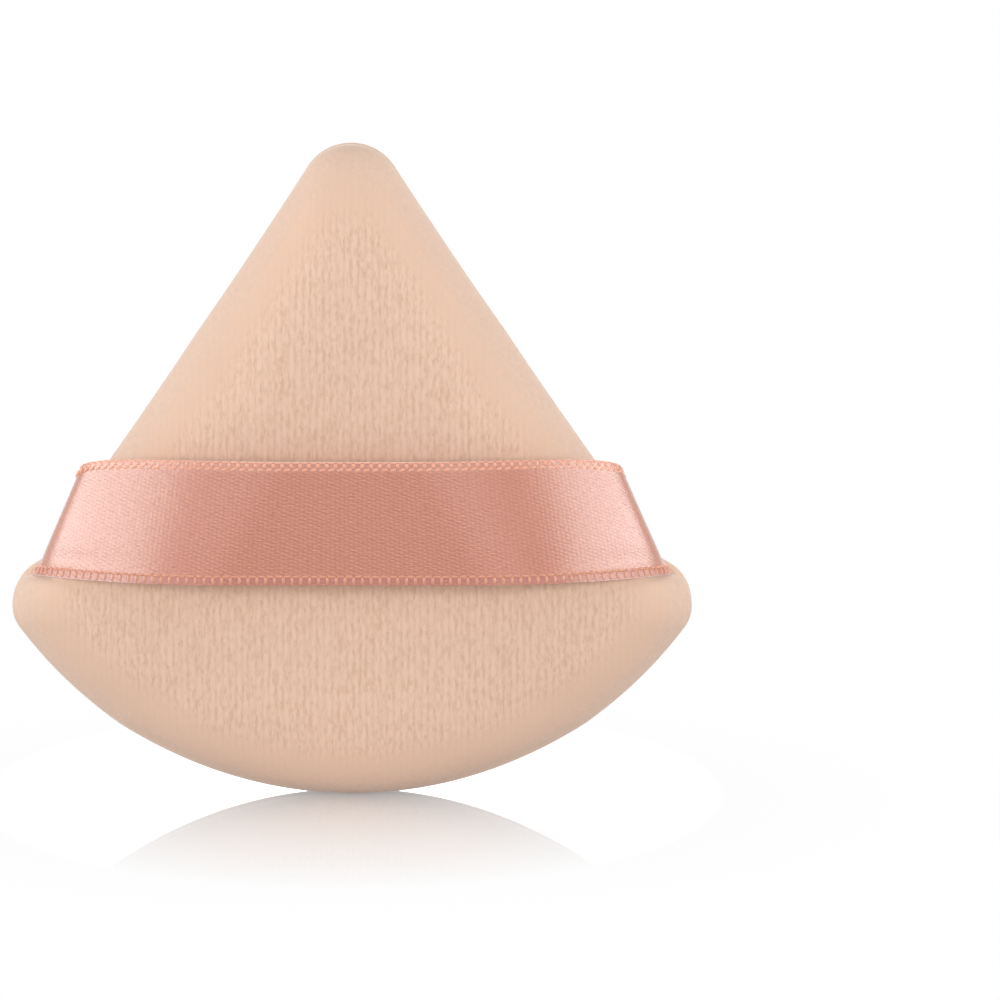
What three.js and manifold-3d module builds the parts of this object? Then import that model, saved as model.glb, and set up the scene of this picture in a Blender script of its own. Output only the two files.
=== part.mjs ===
// Triangular powder puff: two velour covers sewn round a foam core, with a satin finger ribbon
// caught in the side seams. Millimetres, +Z up, the ribbon's side faces -Y. The puff stands on its
// rounded base edge, and the origin lies on the standing plane under the middle of the puff.

import * as THREE from 'three';
import { mergeVertices } from 'three/addons/utils/BufferGeometryUtils.js';
import Module from 'manifold-3d';

const wasm = await Module();
wasm.setup();

// Outline of the pad, seen from the front
const puffWidth = 70;
const puffHeight = 67.1;
const apexRadius = 5.4;
const cornerRadius = 3.6;
const cornerHeight = 19.5; // centre of each corner's arc above the standing plane
const sideDrawIn = 0.35; // how far the sides pull in between apex and corner
const footDepth = 0.5; // how much of the base arc is pressed flat where the puff stands

// Section of the pad
const padThickness = 14; // front face to back face at the crown
const flatRadius = 8; // flat middle of each face, before it starts to roll off
const crownPower = 5; // higher is a flatter face with a tighter edge
const fabricThickness = 1.4; // base cloth and pile
const lipRadius = 1.1; // roll of the velour into the seam
const seamGap = 0.3; // pile between the two turned-in edges

// Seam
const stitchDepth = 2.9; // stitch line in from the edge
const seamAllowance = 2.2; // cloth past the stitch line
const threadDiameter = 0.4;
const closingLength = 34; // stretch of the base edge closed after filling

// Ribbon
const ribbonWidth = 13.3;
const ribbonThickness = 0.4;
const ribbonRise = 1.4; // lower end of the ribbon's foot above the corner's arc
const ribbonTuck = 0.7; // how far each edge is drawn in where the ribbon enters the seam
const fingerGap = 4.8; // room for a fingertip between the face and the ribbon
const archReach = 12.5; // from the foot to where the ribbon runs flat
const archOverhang = 2; // how far the ribbon's upper edge stands out past the side

const clearance = 0.25; // between neighbouring pieces

// Facets
const baseSteps = 14;
const cornerSteps = 6;
const sideSteps = 9;
const apexSteps = 8;
const crownSteps = 6;
const liningSteps = 4;
const archSteps = 10;
const spanSteps = 4;
const acrossSteps = 3;
const threadSides = 5;
const threadStep = 1.8; // length of one straight piece of thread

// Sizes worked out from those above
const crown = padThickness / 2;
const lipCrest = lipRadius + seamGap / 2;
const flangeFace = seamGap / 2;
const flangeTop = flangeFace + fabricThickness;
const flangeEnd = stitchDepth + seamAllowance;
const ribbonHalf = ribbonThickness / 2;
const threadRadius = threadDiameter / 2;
const threadDepth = ribbonHalf + clearance + threadRadius;
const channelTop = threadDepth + threadRadius + clearance;
const channelHalf = threadRadius + clearance;

// The base arc touches both corner arcs from outside and dips footDepth below the standing plane
const cornerX = puffWidth / 2 - cornerRadius;
const baseDip = footDepth - cornerRadius;
const baseCentre =
  (cornerX ** 2 + cornerHeight ** 2 - baseDip ** 2) / (2 * (cornerHeight + baseDip));
const baseRadius = baseCentre + footDepth;
const baseAngle = Math.atan2(cornerHeight - baseCentre, cornerX);

// The side runs along the outer tangent of the apex arc and the corner arc
const apexCentre = puffHeight - apexRadius;
const apexToCorner = new THREE.Vector2(cornerX, cornerHeight - apexCentre);
const sideTilt = Math.asin((apexRadius - cornerRadius) / apexToCorner.length());
const sideAngle = apexToCorner.angle() + Math.PI / 2 - sideTilt - 2 * Math.PI;
const sideNormal = new THREE.Vector2(Math.cos(sideAngle), Math.sin(sideAngle));
const sideTangent = new THREE.Vector2(-sideNormal.y, sideNormal.x);
const sideTop = sideNormal.clone().multiplyScalar(apexRadius).add(new THREE.Vector2(0, apexCentre));
const sideLow = sideNormal
  .clone()
  .multiplyScalar(cornerRadius)
  .add(new THREE.Vector2(cornerX, cornerHeight));

// Centre of the circle that touches both sides and the base: rings are drawn in towards it
const centreHeight = (sideNormal.dot(sideTop) - footDepth) / (1 + sideNormal.y);
const inRadius = centreHeight + footDepth;

// Where the ribbon enters the side seam
const footLow = sideLow.y + ribbonRise;
const footHigh = footLow + ribbonWidth - 2 * ribbonTuck;
const ribbonCentre = (footLow + footHigh) / 2;
const ribbonDepth = crown + fingerGap + ribbonHalf; // middle of the flat span, from the seam
const footOut = clearance + ribbonHalf; // middle of the ribbon's leg, out from the edge
const legStart = ribbonHalf + clearance; // the leg starts just in front of the sewn end

// The seam plane lies behind the origin, so that the whole puff is centred front to back
const seamPlane = (ribbonDepth + ribbonHalf - crown) / 2;

const velour = new THREE.MeshStandardMaterial({ color: 0xe6c3ac, roughness: 0.95 });
const foam = new THREE.MeshStandardMaterial({ color: 0xf4ecdf, roughness: 1 });
const satin = new THREE.MeshStandardMaterial({ color: 0xd6947f, roughness: 0.35 });
const thread = new THREE.MeshStandardMaterial({ color: 0xe0b79e, roughness: 0.7 });

function mirrored(point) {
  return new THREE.Vector2(-point.x, point.y);
}

// Right-hand side edge, from the corner up to the apex, pulled in at its middle
function sideCurve(turn) {
  const pulled = sideLow
    .clone()
    .add(sideTop)
    .multiplyScalar(0.5)
    .addScaledVector(sideNormal, -2 * sideDrawIn);
  return new THREE.QuadraticBezierCurve(turn(sideLow), turn(pulled), turn(sideTop));
}

function arc(x, height, radius, from, to) {
  return new THREE.EllipseCurve(x, height, radius, radius, from, to, false);
}

// Points along the edge, x across and y up, going round from one angle on the base arc to another
function edgePoints(baseFrom, baseTo) {
  const same = (point) => point;
  const outer = Math.PI - sideAngle;
  const left = sideCurve(mirrored).getPoints(sideSteps).reverse();
  const pieces = [
    arc(0, baseCentre, baseRadius, baseFrom, 2 * Math.PI + baseAngle).getPoints(baseSteps / 2),
    arc(cornerX, cornerHeight, cornerRadius, baseAngle, sideAngle).getPoints(cornerSteps),
    sideCurve(same).getPoints(sideSteps),
    arc(0, apexCentre, apexRadius, sideAngle, outer).getPoints(apexSteps),
    left,
    arc(-cornerX, cornerHeight, cornerRadius, outer, Math.PI - baseAngle).getPoints(cornerSteps),
    arc(0, baseCentre, baseRadius, Math.PI - baseAngle, baseTo).getPoints(baseSteps / 2),
  ];
  return pieces.flatMap((points, k) => (k === 0 ? points : points.slice(1)));
}

// A point of the edge drawn in towards the centre by inset, at a depth y from the seam plane
function drawnIn(point, inset, y) {
  const share = 1 - inset / inRadius;
  return new THREE.Vector3(point.x * share, y, centreHeight + (point.y - centreHeight) * share);
}

const outline = edgePoints(-Math.PI / 2 + 2 * Math.PI, (3 * Math.PI) / 2).slice(0, -1);

function ring(inset, y) {
  return outline.map((point) => drawnIn(point, inset, y));
}

function pole(y) {
  return [new THREE.Vector3(0, y, centreHeight)];
}

// Closed skin over a row of rings. A ring of one point closes an end.
function loft(rings) {
  const positions = rings.flat().flatMap((point) => point.toArray());
  const index = [];
  let start = 0;
  for (let k = 0; k + 1 < rings.length; k++) {
    const near = rings[k].length;
    const far = rings[k + 1].length;
    const count = Math.max(near, far);
    for (let i = 0; i < count; i++) {
      const j = (i + 1) % count;
      const a = start + (i % near);
      const b = start + (j % near);
      const c = start + near + (i % far);
      const d = start + near + (j % far);
      if (far > 1) index.push(a, c, d);
      if (near > 1) index.push(a, d, b);
    }
    start += near;
  }
  const geometry = new THREE.BufferGeometry();
  geometry.setAttribute('position', new THREE.Float32BufferAttribute(positions, 3));
  geometry.setIndex(index);
  return geometry;
}

// Rings of one dome, from its flat middle out to the edge at inset, where it has fallen to low
function dome(inset, high, low, steps) {
  const outer = inRadius - inset;
  return Array.from({ length: steps + 1 }, (_, k) => {
    const angle = (k / steps) * (Math.PI / 2);
    const reach = flatRadius + (outer - flatRadius) * Math.sin(angle) ** (2 / crownPower);
    return [inRadius - reach, low + (high - low) * Math.cos(angle)];
  });
}

function solid(geometry) {
  const plain = geometry.clone();
  plain.deleteAttribute('normal');
  plain.deleteAttribute('uv');
  const merged = mergeVertices(plain);
  return new wasm.Manifold(
    new wasm.Mesh({
      numProp: 3,
      vertProperties: merged.attributes.position.array,
      triVerts: new Uint32Array(merged.index.array),
    }),
  );
}

function surface(manifold) {
  const mesh = manifold.getMesh();
  const geometry = new THREE.BufferGeometry();
  geometry.setAttribute('position', new THREE.Float32BufferAttribute(mesh.vertProperties, 3));
  geometry.setIndex(Array.from(mesh.triVerts));
  return geometry;
}

function piece(name, geometry, material) {
  geometry.computeVertexNormals();
  const mesh = new THREE.Mesh(geometry, material);
  mesh.name = name;
  return mesh;
}

// Sewn end of the ribbon, lying flat between the turned-in edges, or its pocket when grown
function tailSlab(turn, grow) {
  const along = sideTangent.clone().multiplyScalar(grow);
  const out = footOut + ribbonHalf + grow;
  const low = onSide(footLow).sub(along);
  const high = onSide(footHigh).add(along);
  const deep = -(flangeEnd + grow);
  const corners = [
    low.clone().addScaledVector(sideNormal, out),
    high.clone().addScaledVector(sideNormal, out),
    high.clone().addScaledVector(sideNormal, deep),
    low.clone().addScaledVector(sideNormal, deep),
  ];
  const depth = ribbonThickness + 2 * grow;
  const slab = new THREE.ExtrudeGeometry(new THREE.Shape(corners.map(turn)), {
    depth,
    bevelEnabled: false,
  });
  slab.translate(0, 0, -depth / 2);
  slab.rotateX(Math.PI / 2);
  return slab;
}

// Point on the straight line of the right-hand side, at a height
function onSide(height) {
  const x = (sideNormal.dot(sideTop) - sideNormal.y * height) / sideNormal.x;
  return new THREE.Vector2(x, height);
}

// Velour cover: crowned outside, rolled into the seam, with its edge turned in and a stitch channel
function cover(front) {
  const way = front ? -1 : 1;
  const lipShoulder = lipRadius * (1 - Math.SQRT1_2);
  const profile = [
    ...dome(0, crown, lipCrest, crownSteps),
    [lipShoulder, flangeFace + lipShoulder],
    [lipRadius, flangeFace],
    [stitchDepth - channelHalf, flangeFace],
    [stitchDepth - channelHalf, channelTop],
    [stitchDepth + channelHalf, channelTop],
    [stitchDepth + channelHalf, flangeFace],
    [flangeEnd, flangeFace],
    [flangeEnd, flangeTop],
    ...dome(fabricThickness, crown - fabricThickness, flangeTop, liningSteps).reverse(),
  ];
  const rings = [
    pole(way * crown),
    ...profile.map(([inset, y]) => ring(inset, way * y)),
    pole(way * (crown - fabricThickness)),
  ];
  const ground = new THREE.BoxGeometry(2 * puffWidth, 2 * padThickness, puffHeight);
  ground.translate(0, 0, -puffHeight / 2);
  const cut = solid(loft(front ? rings : rings.reverse()))
    .subtract(solid(tailSlab((point) => point.clone(), clearance)))
    .subtract(solid(tailSlab(mirrored, clearance)))
    .subtract(solid(ground));
  return surface(cut);
}

// Foam core: fills the covers and is waisted where the turned-in edges lie
function foamCore() {
  const inset = fabricThickness + clearance;
  const high = crown - fabricThickness - clearance;
  const low = flangeTop + clearance;
  const half = dome(inset, high, low, liningSteps);
  const waist = flangeEnd + clearance;
  const rings = [
    pole(-high),
    ...half.map(([i, y]) => ring(i, -y)),
    ring(waist, -low),
    ring(waist, low),
    ...half.reverse().map(([i, y]) => ring(i, y)),
    pole(high),
  ];
  return loft(rings);
}

// One line of the ribbon from the left foot to the right foot, at a share of its width from below
function ribbonLine(share) {
  const height = THREE.MathUtils.lerp(footLow, footHigh, share);
  const foot = onSide(height).addScaledVector(sideNormal, footOut);
  const level = ribbonCentre + (share - 0.5) * ribbonWidth;
  const swell = 2.5 * archOverhang * share;
  const rise = 0.75 * ribbonDepth;
  const arch = new THREE.CubicBezierCurve3(
    new THREE.Vector3(foot.x, -legStart, foot.y),
    new THREE.Vector3(foot.x + swell, -rise, foot.y),
    new THREE.Vector3(foot.x - 0.3 * archReach, -ribbonDepth, level),
    new THREE.Vector3(foot.x - archReach, -ribbonDepth, level),
  );
  const right = arch.getPoints(archSteps).reverse();
  const left = arch.getPoints(archSteps).map((p) => new THREE.Vector3(-p.x, p.y, p.z));
  const span = new THREE.LineCurve3(left[archSteps], right[0]).getPoints(spanSteps);
  return [...left, ...span.slice(1, -1), ...right];
}

// Free span of the ribbon: an even thickness laid on both sides of its middle surface
function ribbonBand() {
  const lines = Array.from({ length: acrossSteps + 1 }, (_, k) => ribbonLine(k / acrossSteps));
  const columns = lines[0].length;
  const rings = [];
  for (let c = 0; c < columns; c++) {
    const before = Math.max(c - 1, 0);
    const after = Math.min(c + 1, columns - 1);
    const across = lines[acrossSteps][c].clone().sub(lines[0][c]);
    const faces = lines.map((line) => {
      const along = line[after].clone().sub(line[before]);
      const offset = along.cross(across).setLength(ribbonHalf);
      return [line[c].clone().add(offset), line[c].clone().sub(offset)];
    });
    rings.push([...faces.map((pair) => pair[0]), ...faces.map((pair) => pair[1]).reverse()]);
  }
  const middle = (loop) => [
    loop.reduce((sum, p) => sum.add(p), new THREE.Vector3()).divideScalar(loop.length),
  ];
  return loft([middle(rings[0]), ...rings, middle(rings[columns - 1])]);
}

// Thread along a row of edge points, drawn in to the stitch line
function sewn(points, y) {
  const path = new THREE.CatmullRomCurve3(points.map((point) => drawnIn(point, stitchDepth, y)));
  const section = Array.from({ length: threadSides }, (_, k) => {
    const angle = (k / threadSides) * 2 * Math.PI;
    return new THREE.Vector2(Math.cos(angle), Math.sin(angle)).multiplyScalar(threadRadius);
  });
  return new THREE.ExtrudeGeometry(new THREE.Shape(section), {
    steps: Math.ceil(path.getLength() / threadStep),
    bevelEnabled: false,
    extrudePath: path,
  });
}

// The machine seam leaves closingLength of the base open; its two threads run the rest of the way
function machineSeam(y) {
  const halfGap = closingLength / 2 / baseRadius;
  return sewn(edgePoints((3 * Math.PI) / 2 + halfGap, (3 * Math.PI) / 2 - halfGap), y);
}

function closingSeam() {
  const halfGap = (closingLength / 2 - threadDiameter) / baseRadius;
  const down = (3 * Math.PI) / 2;
  return sewn(arc(0, baseCentre, baseRadius, down - halfGap, down + halfGap).getPoints(baseSteps), 0);
}

const puff = new THREE.Group();
puff.position.y = seamPlane;
puff.add(
  piece('front_cover', cover(true), velour),
  piece('back_cover', cover(false), velour),
  piece('foam_core', foamCore(), foam),
  piece('ribbon_band', ribbonBand(), satin),
  piece('ribbon_tail_left', tailSlab(mirrored, 0), satin),
  piece('ribbon_tail_right', tailSlab((point) => point.clone(), 0), satin),
  piece('needle_thread', machineSeam(-threadDepth), thread),
  piece('bobbin_thread', machineSeam(threadDepth), thread),
  piece('closing_thread', closingSeam(), thread),
);

export default puff;
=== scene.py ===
"""Powder puff: a stuffed velour pad with a satin finger ribbon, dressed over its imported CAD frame."""

import math
from typing import NamedTuple

import bpy
import numpy as np
from bpy.props import FloatProperty, FloatVectorProperty, IntProperty, PointerProperty
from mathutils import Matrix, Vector


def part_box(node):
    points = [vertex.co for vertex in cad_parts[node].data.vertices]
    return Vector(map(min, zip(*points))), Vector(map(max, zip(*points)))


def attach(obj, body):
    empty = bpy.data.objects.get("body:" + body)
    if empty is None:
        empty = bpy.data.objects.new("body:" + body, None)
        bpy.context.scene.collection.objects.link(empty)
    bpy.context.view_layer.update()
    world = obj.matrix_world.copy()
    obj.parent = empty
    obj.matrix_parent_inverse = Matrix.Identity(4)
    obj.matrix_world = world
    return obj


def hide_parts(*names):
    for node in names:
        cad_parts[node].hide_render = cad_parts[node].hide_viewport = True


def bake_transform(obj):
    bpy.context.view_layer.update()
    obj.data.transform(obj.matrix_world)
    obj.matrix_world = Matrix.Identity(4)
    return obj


bl_info = {
    "name": "Powder Puff",
    "version": (1, 0, 0),
    "blender": (4, 5, 0),
    "location": "View3D > Sidebar > Puff",
    "description": "Builds a velour powder puff with a satin finger ribbon over its CAD frame",
    "category": "Object",
}

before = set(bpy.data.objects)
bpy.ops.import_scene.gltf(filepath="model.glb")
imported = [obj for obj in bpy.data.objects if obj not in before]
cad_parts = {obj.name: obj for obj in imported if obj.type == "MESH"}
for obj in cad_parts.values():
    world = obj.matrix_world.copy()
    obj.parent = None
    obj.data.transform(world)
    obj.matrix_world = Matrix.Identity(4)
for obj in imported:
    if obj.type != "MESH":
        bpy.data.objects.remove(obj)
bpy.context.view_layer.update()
MM = 0.001
TINY = 1e-9
WHITE = (1, 1, 1, 1)


# Settings


def length_prop(name, description, size):
    """A length, whose default is given in millimetres."""
    return FloatProperty(name=name, description=description, default=size * MM, unit="LENGTH")


def color_prop(name, description, default):
    """A colour, in linear values."""
    return FloatVectorProperty(name=name, description=description, default=default, subtype="COLOR")


def power_prop(name, description, watts):
    """The power of a light."""
    return FloatProperty(name=name, description=description, default=watts, unit="POWER")


class PuffPadSettings(bpy.types.PropertyGroup):
    """Sizes and colours of the stuffed velour pad."""

    apex_radius: length_prop("Apex radius", "Rounding of the pad's top corner", 5.4)
    corner_radius: length_prop("Corner radius", "Rounding of the two lower corners", 3.6)
    corner_height: length_prop("Corner height", "Height of the lower corners' centres over the floor", 19.5)
    side_draw_in: length_prop("Side draw-in", "How far the sides pull in between their corners", 0.35)
    foot_depth: length_prop("Foot depth", "How far the base arc is pressed flat where it stands", 0.15)
    flat_radius: length_prop("Flat radius", "Flat middle of each face, before the crown starts to fall", 8)
    crown_power: FloatProperty(
        name="Crown fullness", description="Higher values keep the face full further out", default=5
    )
    lip_radius: length_prop("Seam lip radius", "Roll of the velour where it turns into the seam", 1.1)
    seam_gap: length_prop("Seam gap", "Space between the two covers in the seam", 0.03)
    velour_thickness: length_prop("Velour thickness", "Thickness of the velour with its backing", 0.6)
    nap_relief: length_prop("Nap relief", "Height of the brushed streaks in the pile", 0.02)
    wale_pitch: length_prop("Wale pitch", "Spacing of the velour's upright knitted wales", 0.7)
    velour_color: color_prop("Velour", "Colour of the velour's pile", (0.833, 0.576, 0.436))
    # Painted sheen: a paler colour painted on the pile where a face turns into the seam, in place of the
    # light that slanted pile catches
    painted_pile_sheen_color: color_prop("Pile sheen", "Colour of the pile towards the seam", (0.75, 0.55, 0.435))
    foam_color: color_prop("Foam", "Colour of the foam filling", (0.9, 0.84, 0.74))
    thread_color: color_prop("Thread", "Colour of the seam thread", (0.74, 0.47, 0.34))


class PuffRibbonSettings(bpy.types.PropertyGroup):
    """Sizes and colours of the satin finger ribbon."""

    width: length_prop("Width", "Width of the ribbon, with its woven edges", 12.55)
    thickness: length_prop("Thickness", "Thickness of the satin", 0.26)
    rise: length_prop("Rise", "Height of the lower edge over the end of the pad's straight side", 1.55)
    tuck_low: length_prop("Lower tuck", "How much the lower edge draws up where the end is sewn in", -0.25)
    tuck_high: length_prop("Upper tuck", "How much the upper edge draws down where the end is sewn in", 3.6)
    tail: length_prop("Tail", "How deep each end reaches into the seam", 2.6)
    arch_reach: length_prop("Arch reach", "How far in from the seam each end takes to level out", 20)
    swing_low: length_prop("Lower swing", "How far the lower edge swings out beside the pad", 0.5)
    swing_high: length_prop("Upper swing", "How far the upper edge swings out beside the pad", 6.0)
    stitch_pitch: length_prop("Edge pitch", "Spacing of the loops along the woven edges", 0.89)
    satin_color: color_prop("Satin", "Colour of the satin's floats", (0.425, 0.082, 0.008))
    edge_color: color_prop("Woven edge", "Colour of the loops along the woven edges", (0.73, 0.325, 0.205))


class PuffStageSettings(bpy.types.PropertyGroup):
    """Camera and light of the stage, and the steps of the simulation."""

    camera_distance: length_prop("Camera distance", "From the camera to the point that it looks at", 600)
    camera_elevation: FloatProperty(
        name="Camera elevation",
        description="Height of the camera over the horizon",
        default=math.radians(8),
        subtype="ANGLE",
    )
    view_width: length_prop("View width", "Width that the picture takes in at the puff", 102.3)
    aim: FloatVectorProperty(
        name="Aim",
        description="The point in the middle of the picture",
        default=(15.2 * MM, 0, 30.75 * MM),
        subtype="TRANSLATION",
    )
    left_power: power_prop("Left light", "Power of the softbox on the puff's left", 2.05)
    right_power: power_prop("Right light", "Power of the softbox on the puff's right", 1.68)
    front_power: power_prop("Front light", "Power of the panel behind the camera", 1.95)
    back_power: power_prop("Back light", "Power of the softbox behind the puff", 3.1)
    top_power: power_prop("Top light", "Power of the softbox over the puff", 0.9)
    fill: FloatProperty(name="Fill", description="Strength of the even light from all round", default=0.2)
    sim_frames: IntProperty(
        name="Swelling steps", description="Frames of the cloth simulation that fills the covers", default=20
    )


# Helpers


def make_active(piece):
    """Selects one object alone, so that the next operators act on it and nothing else."""
    bpy.ops.object.select_all(action="DESELECT")
    piece.select_set(True)
    bpy.context.view_layer.objects.active = piece


def apply_modifier(piece, modifier):
    make_active(piece)
    bpy.ops.object.modifier_apply(modifier=modifier.name)


def modify(piece, kind, **settings):
    """Adds a modifier with its settings and applies it."""
    modifier = piece.modifiers.new(kind.title(), kind)
    for name, value in settings.items():
        setattr(modifier, name, value)
    apply_modifier(piece, modifier)


def edit_all(piece, operator, **options):
    """Runs one mesh operator on the whole of a piece, in edit mode."""
    make_active(piece)
    bpy.ops.object.mode_set(mode="EDIT")
    bpy.ops.mesh.select_all(action="SELECT")
    operator(**options)
    bpy.ops.object.mode_set(mode="OBJECT")


def read_vectors(items, attribute):
    """Reads one vector of each item of a mesh, one to a row."""
    values = np.empty(len(items) * 3, np.float32)
    items.foreach_get(attribute, values)
    return values.reshape(-1, 3).astype(float)


def get_points(mesh):
    return read_vectors(mesh.vertices, "co")


def set_points(mesh, points):
    mesh.vertices.foreach_set("co", points.astype(np.float32).ravel())
    mesh.update()


def smoothstep(value, low, high):
    share = np.clip((value - low) / (high - low), 0, 1)
    return share * share * (3 - 2 * share)


def run_length(line):
    """Length along a line of points, up to each of them."""
    steps = np.linalg.norm(np.diff(line, axis=0), axis=1)
    return np.concatenate([[0], np.cumsum(steps)])


def between_four(table, rows, columns, v, u):
    """Values between four neighbours in a table; rows and columns each give a lower and an upper index."""
    low = table[rows[0], columns[0]] * (1 - u) + table[rows[0], columns[1]] * u
    high = table[rows[1], columns[0]] * (1 - u) + table[rows[1], columns[1]] * u
    return low * (1 - v) + high * v


def value_noise(across, along, seed, cells=256):
    """Smooth random values from -1 to 1 on a plane whose cells measure 1 by 1."""
    lattice = np.random.default_rng(seed).uniform(-1, 1, (cells, cells))
    column, row = np.floor(across).astype(int), np.floor(along).astype(int)
    u, v = smoothstep(across - column, 0, 1), smoothstep(along - row, 0, 1)
    rows, columns = (row % cells, (row + 1) % cells), (column % cells, (column + 1) % cells)
    return between_four(lattice, rows, columns, v, u)


def grid_object(name, columns, rows):
    """A flat grid from -1 to 1 both ways, with its own UV map, ready to be shaped."""
    bpy.ops.object.select_all(action="DESELECT")
    bpy.ops.mesh.primitive_grid_add(x_subdivisions=columns, y_subdivisions=rows, size=2)
    piece = bpy.context.object
    piece.name = piece.data.name = name
    return piece


# Form of the pad


class PadForm:
    """The pad's outline in the XZ plane and its crowned section, in the frame's metres."""

    ARC_POINTS = 160
    # Shares of a sheet, from its middle to its edge, that end the dome of the face and the lip of the seam
    DOME_SHARE, LIP_SHARE = 0.74, 0.9
    # Inside the seam, the flange runs between these insets from the outline and keeps clear of the threads
    FLANGE_INSETS, THREAD_ROOM = (2.4 * MM, 4.6 * MM), 1.1 * MM

    def __init__(self, pad):
        front_low, front_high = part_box("front_cover")
        back_low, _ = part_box("back_cover")
        self.pad = pad
        self.seam = (front_high.y + back_low.y) / 2
        self.crown = self.seam - front_low.y
        self.corner = np.array([front_high.x - pad.corner_radius, pad.corner_height])
        self.apex = np.array([0.0, front_high.z - pad.apex_radius])
        self.lip_crest = pad.seam_gap / 2 + pad.lip_radius
        self.shape_outline()
        self.shape_section()

    def shape_outline(self):
        """The outline from the middle of the base, round by the right side and back."""
        pad = self.pad
        dip = pad.foot_depth - pad.corner_radius
        reach = self.corner @ self.corner - dip * dip
        base_centre = reach / (2 * (pad.corner_height + dip))
        base_angle = math.atan2(pad.corner_height - base_centre, self.corner[0])
        slope = self.corner - self.apex
        tilt = math.asin((pad.apex_radius - pad.corner_radius) / np.linalg.norm(slope))
        side_angle = math.atan2(slope[1], slope[0]) + math.pi / 2 - tilt
        self.side_normal = np.array([math.cos(side_angle), math.sin(side_angle)])
        self.side_top = self.apex + pad.apex_radius * self.side_normal
        self.side_low = self.corner + pad.corner_radius * self.side_normal
        self.side = self.side_points()
        base = self.arc((0, base_centre), base_centre + pad.foot_depth, -math.pi / 2, base_angle)
        corner = self.arc(self.corner, pad.corner_radius, base_angle, side_angle)
        apex = self.arc(self.apex, pad.apex_radius, side_angle, math.pi / 2)
        half = np.concatenate([base, corner[1:], self.side[1:], apex[1:]])
        other_half = half[-2::-1] * (-1, 1)
        self.outline = np.concatenate([half, other_half])
        length = run_length(self.outline)
        self.outline_share = length / length[-1]

    def arc(self, centre, radius, start, end):
        angles = np.linspace(start, end, self.ARC_POINTS)
        return np.array(centre) + radius * np.stack([np.cos(angles), np.sin(angles)], axis=1)

    def side_points(self):
        """The right side, drawn in between the lower corner and the apex."""
        middle = (self.side_low + self.side_top) / 2
        control = middle - 2 * self.pad.side_draw_in * self.side_normal
        share = np.linspace(0, 1, self.ARC_POINTS)[:, None]
        rest = 1 - share
        return rest * rest * self.side_low + 2 * rest * share * control + share * share * self.side_top

    def side_at(self, height):
        """The right side's X at a height, or at several."""
        return np.interp(height, self.side[:, 1], self.side[:, 0])

    def shape_section(self):
        """The cover's section from the middle of the face, over the lip and into the seam."""
        pad = self.pad
        self.centre_height = (self.side_normal @ self.side_top - pad.foot_depth) / (1 + self.side_normal[1])
        self.in_radius = self.centre_height + pad.foot_depth
        turn = np.linspace(0, math.pi / 2, self.ARC_POINTS)
        dome_width = self.in_radius - pad.flat_radius
        dome_reach = pad.flat_radius + dome_width * np.sin(turn) ** (2 / pad.crown_power)
        dome_depth = self.lip_crest + (self.crown - self.lip_crest) * np.cos(turn)
        lip_reach = self.in_radius - pad.lip_radius + pad.lip_radius * np.cos(turn)
        lip_depth = self.lip_crest - pad.lip_radius * np.sin(turn)
        flange = [[self.in_radius - inset, self.THREAD_ROOM] for inset in self.FLANGE_INSETS]
        dome = np.stack([dome_reach, dome_depth], axis=1)
        lip = np.stack([lip_reach, lip_depth], axis=1)
        self.section = np.concatenate([[[0, self.crown]], dome, lip[1:], flange])
        self.section_length = run_length(self.section)
        self.dome_end = self.section_length[len(dome)]
        self.lip_end = self.section_length[len(dome) + len(lip) - 1]

    def cover_points(self, square, facing, fullness=1.0):
        """Places a square sheet's points on a cover, ring by ring; also says which are sewn down."""
        a, b = square[:, 0], square[:, 1]
        ring = np.maximum(np.abs(a), np.abs(b))
        around = self.around_outline(a / np.maximum(ring, TINY), b / np.maximum(ring, TINY))
        knots = [0, self.dome_end, self.lip_end, self.section_length[-1]]
        length = np.interp(ring, [0, self.DOME_SHARE, self.LIP_SHARE, 1], knots)
        reach = np.interp(length, self.section_length, self.section[:, 0]) / self.in_radius
        depth = np.interp(length, self.section_length, self.section[:, 1])
        dome_depth = self.lip_crest + (depth - self.lip_crest) * fullness
        depth = np.where(ring < self.DOME_SHARE, dome_depth, depth)
        x = reach * np.interp(around, self.outline_share, self.outline[:, 0])
        z = np.interp(around, self.outline_share, self.outline[:, 1])
        z = self.centre_height + reach * (z - self.centre_height)
        sewn = np.flatnonzero(ring >= self.DOME_SHARE)
        return np.stack([-facing * x, self.seam + facing * depth, z], axis=1), sewn

    def around_outline(self, a, b):
        """Share of the outline for points on the edge of a square, whose sides take a quarter each."""
        slack = 1e-6
        on_base = b <= -np.abs(a) + slack
        on_top = b >= np.abs(a) - slack
        around = np.where(a > 0, 0.25 + b / 8, 0.75 - b / 8)
        around = np.where(on_top, 0.5 - a / 8, around)
        return np.where(on_base, (a / 8) % 1, around)


# Materials


def feed(socket, value):
    """Links a socket to the one that feeds it, or sets it to a plain value."""
    if isinstance(value, bpy.types.NodeSocket):
        socket.id_data.links.new(value, socket)
    else:
        socket.default_value = value


def add_node(tree, kind, **values):
    """Adds a node and sets its properties, or feeds its inputs where the name is an input's."""
    node = tree.nodes.new(kind)
    for name, value in values.items():
        if name in node.inputs:
            feed(node.inputs[name], value)
        else:
            setattr(node, name, value)
    return node


def fed_node(kind, values, **properties):
    """Adds a node beside the sockets among some values, feeds its inputs in order and returns its outputs."""
    tree = next(value.id_data for value in values if isinstance(value, bpy.types.NodeSocket))
    node = add_node(tree, kind, **properties)
    for socket, value in zip(node.inputs, values):
        feed(socket, value)
    return node.outputs


def math_node(operation, *values):
    return fed_node("ShaderNodeMath", values, operation=operation)[0]


def plus(first, second):
    return math_node("ADD", first, second)


def minus(first, second):
    return math_node("SUBTRACT", first, second)


def times(first, second):
    return math_node("MULTIPLY", first, second)


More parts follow.
